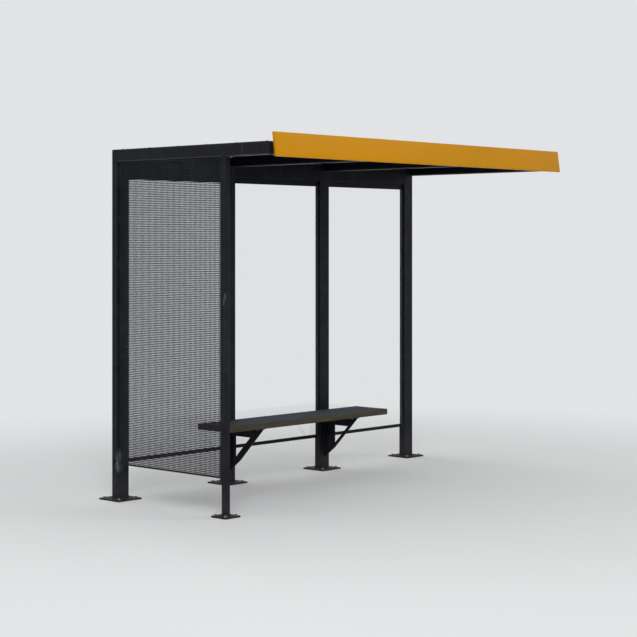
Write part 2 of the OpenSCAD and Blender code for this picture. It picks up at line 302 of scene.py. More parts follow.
def painted_rim_highlight(position, low, high):
    """How strongly the lower edge of a tube gets a pale painted highlight, between two heights."""
    level = height_of(position)
    highlight_band = product(ramp(level, low, low + HIGHLIGHT_FADE_IN), ramp(level, high - HIGHLIGHT_FADE_OUT, high, 1.0, 0.0))
    uneven = ramp(noise_at(position, 16.0, 3.0, 0.6), 0.3, 0.6, 0.75, 1.0)
    return product(highlight_band, uneven)


def painted_steel(name, colour, roughness=0.42, splash=0.4, splash_height=0.3, dust=0.12,
                  streaks=0.25, spread=0.0, patches=(), sheen=0.10, highlight_rim=None):
    """Satin paint. patches are (centre, size, strength) of worn places, in metres, and the last
    argument holds the heights between which a lower edge gets a pale painted highlight."""
    shader, position = new_material(name, Specular_IOR_Level=sheen)
    tone = noise_at(position, 2.4, 4.0, 0.6)
    paint = mix(tone, times(colour, DARK_TONE), times(colour, PALE_TONE))
    streak = effect(rain_streaks, position)["Streak"]
    paint = mix(product(streak, streaks), paint, STREAK)
    dirt = effect(road_dirt, position, Height=splash_height, Splash=splash, Dust=dust)["Dirt"]
    paint = mix(dirt, paint, DUST)
    for centre, size, strength in patches:
        worn = effect(worn_patch, position, Centre=centre, Size=size)["Worn"]
        paint = mix(product(worn, strength), paint, PRIMER)
    # A pale band painted along a tube's lower edge, as a painted highlight
    if highlight_rim:
        paint = mix(painted_rim_highlight(position, *highlight_rim), paint, RIM_HIGHLIGHT)
    chip = effect(chips, position, Spread=spread)
    paint = mix(chip["Rim"], paint, PRIMER)
    paint = mix(chip["Chip"], paint, RUST)
    dull = calc("MULTIPLY_ADD", dirt, DULL_BY_DIRT, roughness)
    dull = calc("ADD", dull, product(calc("SUBTRACT", tone, 0.5), DULL_BY_TONE))
    relief = effect(coat_relief, position)["Relief"]
    relief = calc("SUBTRACT", relief, product(chip["Chip"], 0.3))
    feed(shader, Base_Color=paint, Roughness=dull, Normal=bumped(relief, 0.3, 0.0006))


print("the coat wears down to", PRIMER)

# %% [markdown]
# Each slot of the record gets its own tone of the anthracite and its own amounts. The long roof
# tubes also have a painted highlight: a pale band along their lower edge.

# %% The frame's paints
ANTHRACITE = (0.0070, 0.0080, 0.0126)
ROOF_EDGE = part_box("rafter_left")[0].z
# Heights of the painted highlight along the lower edge of the roof tubes
HIGHLIGHT_RIM = (ROOF_EDGE + 0.0002, ROOF_EDGE + 0.0078)
POST_SPREAD = -0.02
AMOUNTS = {
    "post_paint": (1.0, dict(spread=POST_SPREAD)),
    # The feet are painted a little darker, as painted shade, besides their splash and dust
    "foot_paint": (0.9, dict(roughness=0.55, splash=0.35, splash_height=0.2, dust=0.15, streaks=0.0,
                             spread=0.02)),
    # The headers are painted darker than the posts, as painted shade under the roof
    "header_paint": (0.72, dict(splash=0.0, streaks=0.1, spread=-0.06)),
    "channel_paint": (0.6, dict(roughness=0.4, splash_height=0.35, spread=-0.04)),
    "roof_paint": (0.95, dict(roughness=0.34, splash=0.0, dust=0.06, streaks=0.12, spread=-0.05, highlight_rim=HIGHLIGHT_RIM)),
    "sheet_paint": (1.1, dict(roughness=0.45, splash_height=0.5, spread=-0.05)),
    "bracket_paint": (0.55, dict(roughness=0.45, splash_height=0.25, spread=-0.01)),
}
for slot, (tone, amounts) in AMOUNTS.items():
    painted_steel(slot, times(ANTHRACITE, tone), **amounts)
print("paints:", list(finishes))

# %% [markdown]
# The roof sheet is seen from above only in other views. Rain dries on it in flat puddles, so it
# has broad soft rings of pale dirt where the posts have thin streaks.

# %% Weathered roof sheet
TIDE_DARK, TIDE_PALE = (0.046, 0.048, 0.051), (0.066, 0.066, 0.063)
LEAF_STAIN = (0.038, 0.034, 0.028)
TIDE_RINGS = 6.0
deck_low, deck_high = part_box("roof_deck")

shader, position = new_material("roof_sheet_paint", Specular_IOR_Level=0.3)
# Under its top face the sheet is painted nearly black, as painted shade of the ceiling under the roof
top_over_painted_shade = ramp(height_of(position), deck_low.z + 0.0008, deck_high.z - 0.0002)
pools = noise_at(position, 3.2, 5.0, 0.62)
tide = calc("PINGPONG", product(pools, TIDE_RINGS), 1.0)
leaf = noise_at(position, 46.0, 3.0, 0.7)
weathered = mix(ramp(tide, 0.0, 1.0), TIDE_DARK, TIDE_PALE)
weathered = mix(ramp(leaf, 0.62, 0.7), weathered, LEAF_STAIN)
relief = effect(coat_relief, position)["Relief"]
feed(shader, Base_Color=mix(top_over_painted_shade, times(ANTHRACITE, 0.45), weathered),
     Roughness=ramp(top_over_painted_shade, 0.0, 1.0, 0.45, 0.8), Normal=bumped(relief, 0.35, 0.0008))
print("roof sheet:", [round(v, 3) for v in deck_high - deck_low])

# %% [markdown]
# ## Glass and its metal channels
# Toughened glass is clear, with a faint green in its thickness, so it is a plain glass shader
# with full transmission, and only its roughness has a little dirt in it near the ground.
# The upright channels are dull aluminium: soft brushed lines along their length.

# %% Glass and aluminium
CLEAR_GREEN = (0.965, 0.985, 0.98, 1.0)
STAINED_METAL, CLEAN_METAL = (0.10, 0.10, 0.106), (0.158, 0.16, 0.168)

shader, position = new_material("glass", Transmission_Weight=1.0, IOR=1.45, Base_Color=CLEAR_GREEN)
film = effect(road_dirt, position, Height=0.75, Splash=0.1, Dust=0.02)["Dirt"]
feed(shader, Roughness=film)

shader, position = new_material("channel_metal", Metallic=1.0)
brushed = noise_at(scaled(position, 1.0, 1.0, 0.01), 900.0)
stain = noise_at(position, 5.0, 4.0, 0.65)
feed(shader, Base_Color=mix(stain, STAINED_METAL, CLEAN_METAL),
     Roughness=spread_noise(brushed, 0.38, 0.55), Normal=bumped(brushed, 0.2, 0.0003))
print("finishes:", len(finishes))

# %% [markdown]
# ## Mustard-yellow fascia paint
# The fascia is the one bright piece. Its coat is smoother than the frame's and a little uneven:
# weather has dulled it in slow patches, and dirt has gathered along the lower fold, where water
# hangs before it drops.

# %% Fascia paint
MUSTARD = (0.545, 0.238, 0.0027)
MUSTARD_STREAK, MUSTARD_CHIP = (0.33, 0.16, 0.02), (0.34, 0.2, 0.06)
FOLD_DIRT, FOLD_DIRT_HEIGHT = (0.10, 0.06, 0.015), 0.02
fascia_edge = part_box("fascia")[0].z

shader, position = new_material("fascia_paint", Specular_IOR_Level=0.07)
tone = noise_at(scaled(position, 1.0, 1.0, 2.5), 1.7, 4.0, 0.6)
paint = mix(tone, times(MUSTARD, 0.9), times(MUSTARD, 1.07))
streak = effect(rain_streaks, position, Fineness=30.0)["Streak"]
paint = mix(product(streak, 0.16), paint, MUSTARD_STREAK)
edge = ramp(height_of(position), fascia_edge, fascia_edge + FOLD_DIRT_HEIGHT, 1.0, 0.0)
grit = noise_at(position, 38.0, 4.0, 0.7)
paint = mix(product(edge, ramp(grit, 0.42, 0.8, 0.0, 0.55)), paint, FOLD_DIRT)
chip = effect(chips, position, Spread=-0.03)
relief = effect(coat_relief, position)["Relief"]
feed(shader, Base_Color=mix(chip["Rim"], paint, MUSTARD_CHIP),
     Roughness=spread_noise(tone, 0.34, 0.46), Normal=bumped(relief, 0.35, 0.001))
print("fascia starts at", round(fascia_edge, 3))

# %% [markdown]
# ## Weathered timber
# The bench top has gone silver-grey in the weather, with a blue tint that is a painted reflection of the
# sky, and its edges have kept some of their brown.
# Grain is noise stretched twenty times along the board; end checks and fine cracks are the same
# noise cut at a high level. A mask by height picks the grey for the upper face.

# %% Timber
BROWN = ((0.044, 0.036, 0.021), (0.095, 0.078, 0.045))
# The top's silver-grey is weathering; its blue tint is a painted reflection of the sky
SILVER_AND_SKY_REFLECTION = ((0.040, 0.049, 0.062), (0.074, 0.087, 0.107))
DARK_GRAIN, DARK_CRACK = (0.026, 0.025, 0.024), (0.011, 0.010, 0.009)
RING_BEND = 0.03
bench_low, bench_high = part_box("bench_board")

shader, position = new_material("bench_wood", Specular_IOR_Level=0.14)
along = scaled(position, 0.05, 1.0, 1.0)
bend = product(noise_at(scaled(position, 0.6, 2.0, 2.0), 2.0), RING_BEND)
sideways = result("ShaderNodeCombineXYZ", {"Y": bend})
bent = vector_calc("MULTIPLY_ADD", along, (0.0, 1.0, 0.6), sideways)
grain = noise_at(along, 165.0, 5.0, 0.66)
rings = noise_at(bent, 48.0, 3.0)
crack = ramp(noise_at(scaled(position, 0.02, 1.0, 1.0), 240.0), 0.70, 0.74)
top = ramp(height_of(position), bench_high.z - 0.006, bench_high.z - 0.001)
wood = mix(top, mix(rings, *BROWN), mix(rings, *SILVER_AND_SKY_REFLECTION))
wood = mix(ramp(grain, 0.35, 0.7, 0.0, 0.55), wood, DARK_GRAIN)
relief = calc("SUBTRACT", product(grain, 0.5), crack)
feed(shader, Base_Color=mix(crack, wood, DARK_CRACK),
     Roughness=spread_noise(grain, 0.62, 0.85), Normal=bumped(relief, 0.6, 0.0012))
print("bench board:", [round(v, 3) for v in bench_high - bench_low])

# %% [markdown]
# ## Small-part finishes
# Anchor bolts and screws are zinc-plated and stained. The beads round the glass are black rubber
# with a little chalk on it, and a blind plug on a post is blacker still. Most weld beads were
# painted with the frame, so they only catch the light a little more. The welds of the lower rails
# have kept a metal shine, one tack is bare, and a seam on the roof tube is painted paler.

# %% Zinc, rubber and weld finishes
STAINED_ZINC, CLEAN_ZINC = (0.16, 0.165, 0.175), (0.33, 0.335, 0.34)
BEAD_BLACK, BEAD_CHALK = (0.008, 0.008, 0.009), (0.02, 0.02, 0.021)
PLUG_BLACK, PLUG_CHALK = (0.0015, 0.0015, 0.0015), (0.004, 0.004, 0.004)


def mottled(name, grain, dark, pale, roughness, **shader_values):
    """Two tones in soft spots. grain is the noise's scale, detail and roughness, and roughness is
    the shader's lowest and highest. Returns what new_material does."""
    shader, position = new_material(name, **shader_values)
    spots = noise_at(position, *grain)
    feed(shader, Base_Color=mix(spots, dark, pale), Roughness=spread_noise(spots, *roughness))
    return shader, position


shader, position = new_material("stained_zinc", Metallic=1.0)
bloom = noise_at(position, 130.0, 4.0, 0.7)
zinc = mix(ramp(bloom, 0.35, 0.62), STAINED_ZINC, CLEAN_ZINC)
rusty = ramp(noise_at(position, 75.0, 3.0, 0.6), 0.56, 0.66)
feed(shader, Base_Color=mix(rusty, zinc, RUST), Roughness=spread_noise(bloom, 0.35, 0.7))

mottled("black_rubber", (60.0, 3.0, 0.6), BEAD_BLACK, BEAD_CHALK, (0.55, 0.8), Specular_IOR_Level=0.3)
mottled("plug_rubber", (300.0, 3.0, 0.6), PLUG_BLACK, PLUG_CHALK, (0.7, 0.9), Specular_IOR_Level=0.05)
painted_steel("bare_weld", (0.24, 0.24, 0.25), roughness=0.5, splash=0.0, sheen=0.4)
painted_steel("weld_paint", times(ANTHRACITE, 1.5), roughness=0.36, splash_height=0.2, sheen=0.22)
painted_steel("seam_paint", (0.050, 0.052, 0.060), roughness=0.5, splash=0.0)
print("finishes:", len(finishes))

# %% [markdown]
# Every solid takes the paint that its record names. Three pieces get their own copies of the post
# paint, because they carry marks that the others don't: a pale scrape climbs from the outer edge
# of the first rear post over its front onto the bar of the side wall, a hand above the foot, and
# a slanting scratch crosses the front post at chest height.

# %% Finish the solids
outer_face, post_front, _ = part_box("rear_post_1")[0]
bar_x, bar_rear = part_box("side_frame_rear")[0].x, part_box("side_frame_rear")[1].y
front_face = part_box("front_post")[0].y

MARKED = {
    "rear_post_1": ("post_1_paint", [
        ((outer_face + 0.022, post_front, 0.262), (0.050, 0.026, 0.095), 0.32),
        ((outer_face + 0.018, post_front, 0.270), (0.024, 0.014, 0.050), 0.7),
        ((outer_face + 0.006, post_front, 0.228), (0.017, 0.018, 0.044), 0.8)]),
    "side_frame_rear": ("bar_paint", [
        ((bar_x, bar_rear - 0.010, 0.285), (0.020, 0.024, 0.070), 0.25),
        ((bar_x, bar_rear - 0.006, 0.296), (0.012, 0.018, 0.042), 0.45)]),
    "front_post": ("front_post_paint", [
        ((outer_face, front_face + 0.008, 1.374), (0.013, 0.011, 0.030), 0.5),
        ((outer_face, front_face + 0.018, 1.344), (0.010, 0.009, 0.028), 0.5)]),
}
slot_of = {part["node"]: part["material_slot"] for part in frame["record"]["subparts"]}
for name, solid in nodes.items():
    finish = slot_of[name]
    if name in MARKED:
        finish, marks = MARKED[name]
        painted_steel(finish, ANTHRACITE, spread=POST_SPREAD, patches=marks)
    solid.material_slots[0].material = finishes[finish]
print("painted solids:", len(nodes), "marked:", list(MARKED))

# %% [markdown]
# ## Keeping a new piece
# A new piece rides on the shelter's one body, and the solids that it stands for are hidden.
# Doing that in one call means that no piece is forgotten.

# %% Register a piece
SMOOTH_ANGLE = 32.0


def triangles(mesh):
    return sum(len(face.vertices) - 2 for face in mesh.polygons)


def keep(piece, slot, *stands_for, smooth_angle=SMOOTH_ANGLE):
    """Shades the piece, fixes it to the shelter and reports it."""
    if smooth_angle:
        piece.data.shade_smooth()
        piece.data.set_sharp_from_angle(angle=math.radians(smooth_angle))
    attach(piece, "root")
    if stands_for:
        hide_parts(*stands_for)
    print(f"{piece.name}: {triangles(piece.data)} triangles")
    return piece


def mesh_piece(name, bm, finish=None):
    mesh = bpy.data.meshes.new(name)
    bmesh.ops.recalc_face_normals(bm, faces=bm.faces)
    bm.to_mesh(mesh)
    bm.free()
    if finish:
        mesh.materials.append(finishes[finish])
    return add_object(name, mesh)


print("edges sharper than", SMOOTH_ANGLE, "degrees stay crisp")

# %% [markdown]
# ## Geometry Nodes in three steps
# What repeats, or follows a path, is made by a Geometry Nodes tree: open a tree with named sizes,
# fill it, and run it on a start mesh or curve. Running it bakes the result into a plain mesh, so
# the piece stays editable here and plain everywhere else.

# %% Geometry Nodes helpers
SOCKET_KINDS = {float: "Float", int: "Int", tuple: "Vector", bpy.types.Object: "Object"}


def open_tree(name, **sizes):
    """A tree with one named input for each size. Returns the tree and its inputs by name."""
    tree = bpy.data.node_groups.new(name, "GeometryNodeTree")
    tree.interface.new_socket("Geometry", in_out="INPUT", socket_type="NodeSocketGeometry")
    for label, value in sizes.items():
        kind = "NodeSocket" + SOCKET_KINDS[type(value)]
        tree.interface.new_socket(label, in_out="INPUT", socket_type=kind).default_value = value
    tree.interface.new_socket("Geometry", in_out="OUTPUT", socket_type="NodeSocketGeometry")
    return tree, tree.nodes.new("NodeGroupInput").outputs


def geo(kind, inputs, **settings):
    """Adds a geometry node, named without its prefix, and gives its first output."""
    return result("GeometryNode" + kind, inputs, **settings)


def close_tree(geometry, finish):
    whole = geo("RealizeInstances", {"Geometry": geometry})
    painted = geo("SetMaterial", {"Geometry": whole, "Material": finishes[finish]})
    put("NodeGroupOutput", {"Geometry": painted})


def run_tree(tree, name, start, **sizes):
    """Runs the tree on a start mesh or curve and returns a plain mesh object."""
    source = add_object(name + "_start", start)
    modifier = source.modifiers.new("nodes", "NODES")
    modifier.node_group = tree
    for item in tree.interface.items_tree:
        if item.name in sizes:
            modifier[item.identifier] = sizes[item.name]
    evaluated = source.evaluated_get(bpy.context.evaluated_depsgraph_get())
    mesh = bpy.data.meshes.new_from_object(evaluated)
    bpy.data.objects.remove(source)
    mesh.name = name
    return add_object(name, mesh)


def points_mesh(name, points):
    mesh = bpy.data.meshes.new(name)
    mesh.from_pydata([tuple(p) for p in points], [], [])
    return mesh


def paths_curve(name, paths, closed):
    """One curve of straight runs through the given points."""
    curve = bpy.data.curves.new(name, "CURVE")
    curve.dimensions = "3D"
    for path in paths:
        spline = curve.splines.new("POLY")
        spline.points.add(len(path) - 1)
        for point, place in zip(spline.points, path):
            point.co = (*place, 1.0)
        spline.use_cyclic_u = closed
    return curve


def joined(*parts):
    join = put("GeometryNodeJoinGeometry", tree=parts[0].id_data)
    for part in parts:
        join.id_data.links.new(part, join.inputs[0])
    return join.outputs[0]


print("sizes can be:", sorted(SOCKET_KINDS.values()))

# %% [markdown]
# ## The perforated sheet
# The end wall is sheet steel with small round holes in straight rows and columns, which lets
# light and wind through. Cutting fourteen thousand holes with booleans would be slow, and a
# see-through pattern in a material would leave no real holes.
# Every hole sits in the middle of a square cell. So one flat cell is made by filling between a
# square and a ring of eight points, it is placed on every point of a grid, the cells are joined,
# and the sheet gets its thickness at the very end.

# %% Tree for a band of the sheet
HOLE_PITCH = 0.0115
HOLE_WIDTH = 0.0088
HOLE_SIDES = 8
CELL_JOIN, FACE_JOIN = 0.0002, 0.00002

sheet_low, sheet_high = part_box("perforated_sheet")
columns = int((sheet_high.y - sheet_low.y) / HOLE_PITCH)
rows = int((sheet_high.z - sheet_low.z) / HOLE_PITCH)

tree, size = open_tree("perforated_band", Pitch=HOLE_PITCH, Hole=HOLE_WIDTH, Columns=columns, Rows=rows,
                       Thickness=sheet_high.x - sheet_low.x, Place=(0.0, 0.0, 0.0))
square = geo("CurvePrimitiveQuadrilateral", {"Width": size["Pitch"], "Height": size["Pitch"]})
half_hole = product(size["Hole"], 0.5)
hole = geo("CurvePrimitiveCircle", {"Resolution": HOLE_SIDES, "Radius": half_hole})
hole = geo("Transform", {"Geometry": hole, "Rotation": (0.0, 0.0, math.pi / HOLE_SIDES)})
cell = geo("FillCurve", {"Curve": joined(square, hole)}, mode="TRIANGLES")
wide, tall = (product(calc("SUBTRACT", size[count], 1.0), size["Pitch"]) for count in ("Columns", "Rows"))
grid = geo("MeshGrid", {"Size X": wide, "Size Y": tall,
                        "Vertices X": size["Columns"], "Vertices Y": size["Rows"]})
cells = geo("InstanceOnPoints", {"Points": grid, "Instance": cell})
cells = geo("RealizeInstances", {"Geometry": cells})
flat = geo("MergeByDistance", {"Geometry": cells, "Distance": CELL_JOIN})
raised = geo("ExtrudeMesh", {"Mesh": flat, "Offset Scale": size["Thickness"], "Individual": False})
back = geo("FlipFaces", {"Mesh": flat})
sealed = geo("MergeByDistance", {"Geometry": joined(raised, back), "Distance": FACE_JOIN})
standing = geo("Transform", {"Geometry": sealed, "Rotation": (math.pi / 2, 0.0, math.pi / 2),
                             "Translation": size["Place"]})
close_tree(standing, "sheet_paint")
print("holes:", columns * rows, "in", rows, "rows")

# %% [markdown]
# The wall is made in four bands, one above the other, so that no single mesh grows too large. The
# first band stands for the solid, and the others add to it.

# %% Perforated bands
BANDS = 4

band_rows = [rows // BANDS + (band < rows % BANDS) for band in range(BANDS)]
lowest = (sheet_low.z + sheet_high.z - rows * HOLE_PITCH) / 2
for band, count in enumerate(band_rows):
    band_middle = lowest + (sum(band_rows[:band]) + count / 2) * HOLE_PITCH
    piece = run_tree(tree, f"perforated_band_{band + 1}", points_mesh("start", []), Rows=count,
                     Place=(sheet_low.x, (sheet_low.y + sheet_high.y) / 2, band_middle))
    keep(piece, "sheet_paint", smooth_angle=None)
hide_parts("perforated_sheet")
print("rows in each band:", band_rows)

# %% [markdown]
# ## Turned and hexagonal small parts
# A washer, a bolt head, a shank and a screw head are all stacks of rings: round or six-sided
# outlines at rising heights, joined by faces. One loft helper makes them all, with few faces,
# because each is repeated many times.

# %% Loft helper
MM = 0.001
RING_POINTS = 12
HEX_STEP = math.pi / 3


def ring(height, radius, flats=0.0):
    """A ring of points, sized in millimetres. With flats, it is a hexagon of that width across
    flats, cut by the circle."""
    points = []
    for i in range(RING_POINTS):
        angle = 2 * math.pi * i / RING_POINTS
        reach = radius * MM
        if flats:
            from_flat = (angle + HEX_STEP / 2) % HEX_STEP - HEX_STEP / 2
            reach = min(reach, flats * MM / 2 / math.cos(from_flat))
        points.append(Vector((reach * math.cos(angle), reach * math.sin(angle), height * MM)))
    return points


def loft(bm, stack):
    """Joins a stack of rings with faces and closes both ends."""
    levels = [[bm.verts.new(p) for p in ring(*sizes)] for sizes in stack]
    for low, high in zip(levels, levels[1:]):
        for i in range(len(low)):
            j = (i + 1) % len(low)
            bm.faces.new((low[i], low[j], high[j], high[i]))
    bm.faces.new(levels[0][::-1])
    bm.faces.new(levels[-1])


def master(name, *stacks):
    """A part made of lofted stacks, which is only a pattern for copies."""
    bm = bmesh.new()
    for stack in stacks:
        loft(bm, stack)
    piece = mesh_piece(name, bm)
    piece.hide_render = True
    return piece


print("points in a ring:", RING_POINTS)

# %% [markdown]
# Each ring below is its height, its radius and, on a hexagon, its width across flats.

# %% Master fastenings
anchor = master("anchor_master", [(0, 12), (2, 12), (2.5, 11.5)],
                [(2.5, 9.9, 18), (3.3, 10.4, 18), (8.6, 10.4, 18), (10, 8.6, 18)], [(-7, 6), (0, 6)])
roof_screw = master("roof_screw_master", [(0, 8), (1.4, 7.4), (2.2, 5.5)],
                    [(2.2, 5.4, 8), (4.2, 4.6, 8), (4.7, 3.9, 8)])
coach_screw = master("coach_screw_master", [(0, 9), (1.6, 9)],
                     [(1.6, 7.4, 13), (6.4, 7.5, 13), (7.2, 6.4, 13)])
print("masters:", anchor.name, roof_screw.name, coach_screw.name)

# %% [markdown]
# ## Copies of the fastenings
# Real bolt heads never stop at the same angle. The tree below puts a master part on each point,
# gives each its own turn from a fixed seed, and can face them up or down.

# %% Fastenings by Geometry Nodes
SEED = 7
RANDOM_LOW, RANDOM_HIGH, RANDOM_OUT = 2, 3, 1  # the number sockets of a Random Value node


def random_number(low, high, seed):
    return put("FunctionNodeRandomValue", {RANDOM_LOW: low, RANDOM_HIGH: high, "Seed": seed},
               data_type="FLOAT").outputs[RANDOM_OUT]


def fasten(name, pattern, points, slot, facing=(0.0, 0.0, 0.0)):
    tree, size = open_tree(name + "_copies", Pattern=pattern, Facing=facing, Seed=SEED)
    turn = random_number(0.0, 2 * math.pi, size["Seed"])
    spin = result("FunctionNodeEulerToRotation", {0: result("ShaderNodeCombineXYZ", {"Z": turn})})
    face = result("FunctionNodeEulerToRotation", {0: size["Facing"]})
    turned = result("FunctionNodeRotateRotation", {0: spin, 1: face}, rotation_space="GLOBAL")
    copied = put("GeometryNodeObjectInfo", {"Object": size["Pattern"]}).outputs["Geometry"]
    dots = geo("MeshToPoints", {"Mesh": size["Geometry"]})
    copies = geo("InstanceOnPoints", {"Points": dots, "Instance": copied, "Rotation": turned})
    close_tree(copies, "stained_zinc")
    return keep(run_tree(tree, name, points_mesh(name, points)), slot)


def middle(node):
    low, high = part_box(node)
    return (low + high) / 2


# Each foot is a plate, its post, the step between bolts and the radius of the post's corners
FEET = [(f"base_plate_{i}", f"rear_post_{i}", 0.150, 0.007) for i in range(1, 5)]
FEET.append(("front_base_plate", "front_post", 0.092, 0.005))
anchor_points = []
for plate, _, step, _ in FEET:
    half, rise = step / 2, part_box(plate)[1].z - middle(plate).z
    anchor_points += [middle(plate) + Vector((x, y, rise)) for x in (-half, half) for y in (-half, half)]
fasten("anchor_bolts", anchor, anchor_points, "foot_paint")

# %% [markdown]
# Roof screws run over each tube that carries the sheet, where a drill would find steel: along the
# four roof tubes, the front beam and the rear headers. The bench is held from below, by three
# pairs of screws through the flange of each bracket.

# %% Roof and bench screws
ROOF_TUBES = ("rafter_left", "rafter_2", "rafter_3", "rafter_right")
BRACKETS = ("bench_bracket_2", "bench_bracket_3")
TUBE_END = 0.03
SCREW_STEP = 0.26
FLANGE_IN, FLANGE_DEPTH = 0.016, 0.005
FIRST_SCREW, SECOND_SCREW, LAST_SCREW = 0.035, 0.125, 0.10


def spread_between(low, high, step):
    """Evenly spaced values from low to high, about one step apart."""
    count = max(1, round((high - low) / step))
    return [low + (high - low) * i / count for i in range(count + 1)]


roof_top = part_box("roof_deck")[1].z
tube_lines = [middle(name).x for name in ROOF_TUBES]
beam_y, header_y = middle("front_beam").y, middle("header_1").y
screw_points = [(x, y, roof_top) for x in tube_lines
                for y in spread_between(beam_y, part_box("rafter_left")[1].y - TUBE_END, SCREW_STEP)]
for left, right in zip(tube_lines, tube_lines[1:]):
    inner = spread_between(left, right, SCREW_STEP)[1:-1]
    screw_points += [(x, y, roof_top) for x in inner for y in (beam_y, header_y)]
fasten("roof_screws", roof_screw, screw_points, "roof_sheet_paint")

flange_points = []
for name in BRACKETS:
    low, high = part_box(name)
    for y in (low.y + FIRST_SCREW, low.y + SECOND_SCREW, high.y - LAST_SCREW):
        flange_points += [(middle(name).x + aside, y, high.z - FLANGE_DEPTH)
                          for aside in (-FLANGE_IN, FLANGE_IN)]
fasten("bench_screws", coach_screw, flange_points, "bracket_paint", facing=(math.pi, 0.0, 0.0))
for pattern in (anchor, roof_screw, coach_screw):
    bpy.data.objects.remove(pattern)

# %% [markdown]
# ## Rubber beads round the glass
# The glass is thinner than its channel, and a rubber bead fills the gap on both faces. A bead is
# one profile swept along a closed rectangle, which is what Curve to Mesh does.

# %% Glazing beads
BAYS = (1, 2, 3)
BEAD_RADIUS, BEAD_SIDES = 0.0021, 8
BEAD_OUT = BEAD_RADIUS * 0.75
CHANNEL_MOUTH = 0.015

pane_faces = []
for i in BAYS:
    low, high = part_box(f"side_channels_{i}")
    pane_low, pane_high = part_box(f"glass_{i}")
    left, right = low.x + CHANNEL_MOUTH, high.x - CHANNEL_MOUTH
    for y in (pane_low.y - BEAD_OUT, pane_high.y + BEAD_OUT):
        pane_faces.append([(left, y, low.z), (right, y, low.z), (right, y, high.z), (left, y, high.z)])
tree, size = open_tree("bead_sweep", Radius=BEAD_RADIUS, Sides=BEAD_SIDES)
profile = geo("CurvePrimitiveCircle", {"Resolution": size["Sides"], "Radius": size["Radius"]})
swept = geo("CurveToMesh", {"Curve": size["Geometry"], "Profile Curve": profile})
close_tree(swept, "black_rubber")
beads = run_tree(tree, "glazing_beads", paths_curve("glazing_beads", pane_faces, closed=True))
keep(beads, "channel_paint", smooth_angle=60.0)

# %% [markdown]
# ## Weld beads
# A hand weld is a row of overlapping drops. The tree walks along a path in even steps and sets a
# small drop at each step, a little larger or smaller each time, so the bead looks laid down and
# not moulded. The paths are the lines where one piece meets another.

# %% Weld bead tree
DROP_STEP = 0.95  # of the radius, so that the drops overlap
DROP_SEGMENTS, DROP_RINGS = 6, 4
DROP_SMALL, DROP_LARGE = 0.8, 1.15


def weld(name, slot, paths, radius, finish="weld_paint", closed=False):
    tree, size = open_tree(name + "_drops", Radius=radius, Step=radius * DROP_STEP, Seed=SEED)
    walk = geo("ResampleCurve", {"Curve": size["Geometry"], "Length": size["Step"]}, mode="LENGTH")
    drop = geo("MeshUVSphere", {"Segments": DROP_SEGMENTS, "Rings": DROP_RINGS, "Radius": size["Radius"]})
    vary = random_number(DROP_SMALL, DROP_LARGE, size["Seed"])
    drops = geo("InstanceOnPoints", {"Points": walk, "Instance": drop, "Scale": vary})
    close_tree(drops, finish)
    return keep(run_tree(tree, name, paths_curve(name, paths, closed)), slot, smooth_angle=80.0)


CORNER_STEPS = 3
X, Y, Z = range(3)
ALONG = Vector((1, 0, 0)), Vector((0, 1, 0)), Vector((0, 0, 1))


def loop_round(node, axis, at, rounding):
    """A closed loop round a tube's outline, on the plane across the axis at the given place."""
    low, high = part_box(node)
    centre = middle(node)
    centre[axis] = at
    across, up = (way for way in (X, Y, Z) if way != axis)
    path = []
    for corner, (side, rise) in enumerate(((1, 1), (-1, 1), (-1, -1), (1, -1))):
        for step in range(CORNER_STEPS + 1):
            angle = math.pi / 2 * (corner + step / CORNER_STEPS)
            a = side * ((high[across] - low[across]) / 2 - rounding) + rounding * math.cos(angle)
            b = rise * ((high[up] - low[up]) / 2 - rounding) + rounding * math.sin(angle)
            path.append(tuple(centre + ALONG[across] * a + ALONG[up] * b))
    return path


def ends_of(node, axis):
    return [corner[axis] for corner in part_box(node)]


feet = [loop_round(post, Z, ends_of(post, Z)[0], rounding) for _, post, _, rounding in FEET]
weld("foot_welds", "foot_paint", feet, radius=0.0038, closed=True)

# %% [markdown]
# The headers butt against the posts, and the roof tubes against the headers at one end and the
# front beam at the other. The outer roof tubes run past the beam, so they are welded to it only
# from the side. The lower rails are flat bars with sharp corners.

# %% Welds round the ends of tubes
HEADER_ROUND, TUBE_ROUND = 0.007, 0.009

loops = [loop_round(f"header_{i}", X, x, HEADER_ROUND) for i in BAYS for x in ends_of(f"header_{i}", X)]
weld("header_welds", "header_paint", loops, radius=0.0026, closed=True)

loops = []
for name in ROOF_TUBES:
    joints = ends_of(name, Y)
    if name in (ROOF_TUBES[0], ROOF_TUBES[-1]):
        joints = joints[1:]
    loops += [loop_round(name, Y, y, TUBE_ROUND) for y in joints]
loops += [loop_round("front_beam", X, x, TUBE_ROUND) for x in ends_of("front_beam", X)]
weld("roof_welds", "roof_paint", loops, radius=0.0028, closed=True)

loops = []
for i in BAYS:
    low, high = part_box(f"lower_rail_{i}")
    loops += [[(x, low.y, low.z), (x, high.y, low.z), (x, high.y, high.z), (x, low.y, high.z)]
              for x in (low.x, high.x)]
weld("rail_welds", "channel_paint", loops, radius=0.0022, finish="stained_zinc", closed=True)

# %% [markdown]
# The brackets are welded along both edges of their leg. The side wall's bars only need short
# stitches, as a fabricator would place them. The long roof tube at the left was joined from two
# lengths, and the joint shows as a thin upright line on its outer face, painted paler.

# %% Straight weld runs
LEG_HALF, LEG_IN = 0.0055, 0.001
LEG_START, LEG_END = 0.004, 0.006
STITCH, STITCH_STEP, STITCH_END = 0.025, 0.32, 0.03
SEAM_Y = -0.5229

runs = []
for name in BRACKETS:
    low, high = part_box(name)
    for side in (-1, 1):
        x, y = middle(name).x + side * LEG_HALF, high.y - LEG_IN
        runs.append([(x, y, low.z + LEG_START), (x, y, high.z - LEG_END)])
weld("bracket_welds", "bracket_paint", runs, radius=0.003)

